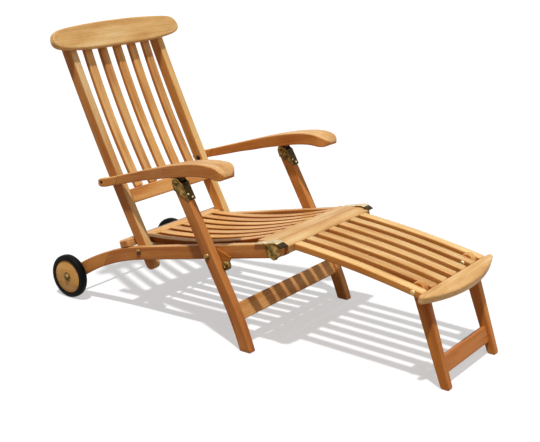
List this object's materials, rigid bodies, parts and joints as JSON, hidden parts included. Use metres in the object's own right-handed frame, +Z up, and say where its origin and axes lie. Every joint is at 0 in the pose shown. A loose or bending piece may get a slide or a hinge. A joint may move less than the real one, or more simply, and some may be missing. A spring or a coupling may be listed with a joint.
{
  "type": "steamer deck chair",
  "caption": "Folding wooden steamer lounger with slatted reclined back, flared arms, dished seat, hinged footrest on folding legs and rear transport wheels.",
  "frame": {"origin": "floor point under the centre of the chair's bounding box", "axes": "+X from the wheels to the foot end, +Y to the sitter's left (the far side), +Z up"},
  "size_m": [1.4162, 0.595, 0.8865],
  "materials": {
    "teak_mid": "oiled teak, satin",
    "teak_light": "oiled light teak, satin",
    "teak_deep": "oiled deep brown teak, satin",
    "teak_wheel": "oiled brown teak, satin",
    "brass": "tarnished brass, satin",
    "rubber": "matt black rubber"
  },
  "bodies": {
    "chair_frame": {"side_rail_near": "teak_mid", "leg_stop_near": "teak_deep", "leg_bolt_near": "brass", "front_bracket_near": "brass", "side_rail_far": "teak_mid", "leg_stop_far": "teak_deep", "leg_bolt_far": "brass", "front_bracket_far": "brass", "rear_crossbar": "teak_mid", "seat_rear_rail": "teak_light", "seat_front_rail": "teak_mid", "seat_slat_1": "teak_light", "seat_slat_2": "teak_light", "seat_slat_3": "teak_light", "seat_slat_4": "teak_light", "seat_slat_5": "teak_light", "seat_slat_6": "teak_light", "seat_slat_7": "teak_light", "wheel_axle": "brass", "back_pivot_rod": "brass"},
    "back": {"back_upright_near": "teak_mid", "back_upright_far": "teak_mid", "headboard": "teak_mid", "back_lower_rail": "teak_mid", "back_slat_1": "teak_light", "back_slat_2": "teak_light", "back_slat_3": "teak_light", "back_slat_4": "teak_light", "back_slat_5": "teak_light"},
    "main_legs": {"main_leg_near": "teak_mid", "leg_cap_near": "brass", "main_leg_far": "teak_mid", "leg_cap_far": "brass", "leg_stretcher": "teak_mid"},
    "arm_near_side": {"arm_near": "teak_mid", "arm_lug_near": "brass"},
    "arm_far_side": {"arm_far": "teak_mid", "arm_lug_far": "brass"},
    "recline_pin_near": {"arm_pin_near": "brass"},
    "recline_pin_far": {"arm_pin_far": "brass"},
    "footrest": {"footrest_hook_near": "brass", "footrest_bolt_near": "brass", "footrest_hook_far": "brass", "footrest_bolt_far": "brass", "footrest_slat_1": "teak_light", "footrest_slat_2": "teak_light", "footrest_slat_3": "teak_light", "footrest_slat_4": "teak_light", "footrest_slat_5": "teak_light", "footrest_slat_6": "teak_light", "footrest_slat_7": "teak_light", "footrest_crossbar": "teak_mid", "footrest_end_board": "teak_mid"},
    "footrest_legs": {"footrest_leg_near": "teak_light", "footrest_leg_far": "teak_light", "footrest_stretcher": "teak_light"},
    "wheel_near": {"tyre_near": "rubber", "wheel_disc_near": "teak_wheel"},
    "wheel_far": {"tyre_far": "rubber", "wheel_disc_far": "teak_wheel"}
  },
  "joints": [
    {"name": "back_fold", "type": "hinge", "parent": "chair_frame", "child": "back", "pos_m": [-0.33512, 0, 0.20946], "axis": [0, 1, 0], "range_deg": [0, 86]},
    {"name": "main_legs_fold", "type": "hinge", "parent": "chair_frame", "child": "main_legs", "pos_m": [-0.02695, 0, 0.26699], "axis": [0, 1, 0], "range_deg": [0, 86]},
    {"name": "arm_near_fold", "type": "hinge", "parent": "back", "child": "arm_near_side", "pos_m": [-0.44534, 0, 0.41247], "axis": [0, 1, 0], "range_deg": [-86, 0]},
    {"name": "arm_far_fold", "type": "hinge", "parent": "back", "child": "arm_far_side", "pos_m": [-0.44534, 0, 0.41247], "axis": [0, 1, 0], "range_deg": [-86, 0]},
    {"name": "recline_pin_near_slide", "type": "slide", "parent": "back", "child": "recline_pin_near", "axis": [0, 1, 0], "range_m": [0, 0.023]},
    {"name": "recline_pin_far_slide", "type": "slide", "parent": "back", "child": "recline_pin_far", "axis": [0, -1, 0], "range_m": [0, 0.023]},
    {"name": "footrest_fold", "type": "hinge", "parent": "chair_frame", "child": "footrest", "pos_m": [0.19026, 0, 0.31674], "axis": [0, 1, 0], "range_deg": [0, 80]},
    {"name": "footrest_legs_fold", "type": "hinge", "parent": "footrest", "child": "footrest_legs", "pos_m": [0.60386, 0, 0.27], "axis": [0, 1, 0], "range_deg": [0, 105]},
    {"name": "wheel_near_spin", "type": "hinge", "parent": "chair_frame", "child": "wheel_near", "pos_m": [-0.63614, -0.255, 0.072], "axis": [0, 1, 0], "continuous": true},
    {"name": "wheel_far_spin", "type": "hinge", "parent": "chair_frame", "child": "wheel_far", "pos_m": [-0.63614, 0.255, 0.072], "axis": [0, 1, 0], "continuous": true}
  ],
  "couplings": [
    {"joint": "main_legs_fold", "follows": "back_fold", "ratio": 1},
    {"joint": "arm_near_fold", "follows": "back_fold", "ratio": -1},
    {"joint": "arm_far_fold", "follows": "back_fold", "ratio": -1}
  ]
}
